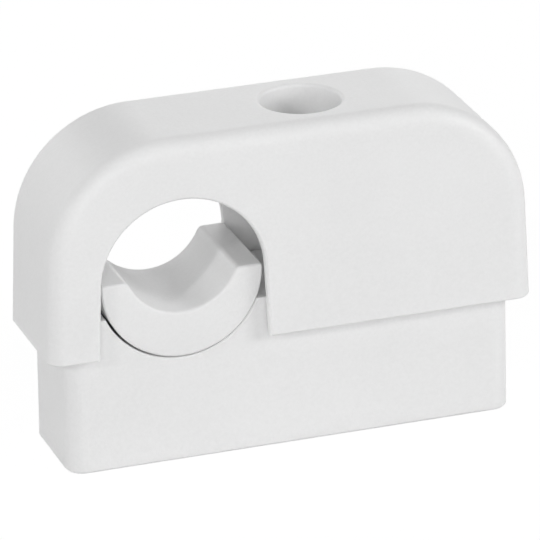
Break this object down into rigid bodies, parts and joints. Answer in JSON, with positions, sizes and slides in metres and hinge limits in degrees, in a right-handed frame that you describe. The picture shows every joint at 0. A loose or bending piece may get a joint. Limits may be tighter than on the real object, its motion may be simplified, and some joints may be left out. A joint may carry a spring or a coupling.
{
  "type": "pipe clip",
  "caption": "Moulded wall clip for a pipe: a base with a half-round seat, a hood-like cover with an arched slot and a screw well, and a loose half ring that makes the seat smaller.",
  "frame": {"origin": "middle of the base's underside, which lies against the wall", "axes": "+X along the clip from the pipe's end to the other end, +Y along the pipe to the back, +Z out from the wall"},
  "size_m": [0.067, 0.019, 0.045],
  "materials": {
    "white_plastic": "semi-matte white moulding"
  },
  "bodies": {
    "base": {"base": "white_plastic", "insert": "white_plastic"},
    "cover": {"cover": "white_plastic"}
  },
  "joints": [
    {"name": "cover_lift", "type": "slide", "parent": "base", "child": "cover", "axis": [0, 0, 1], "range_m": [0, 0.03]}
  ]
}
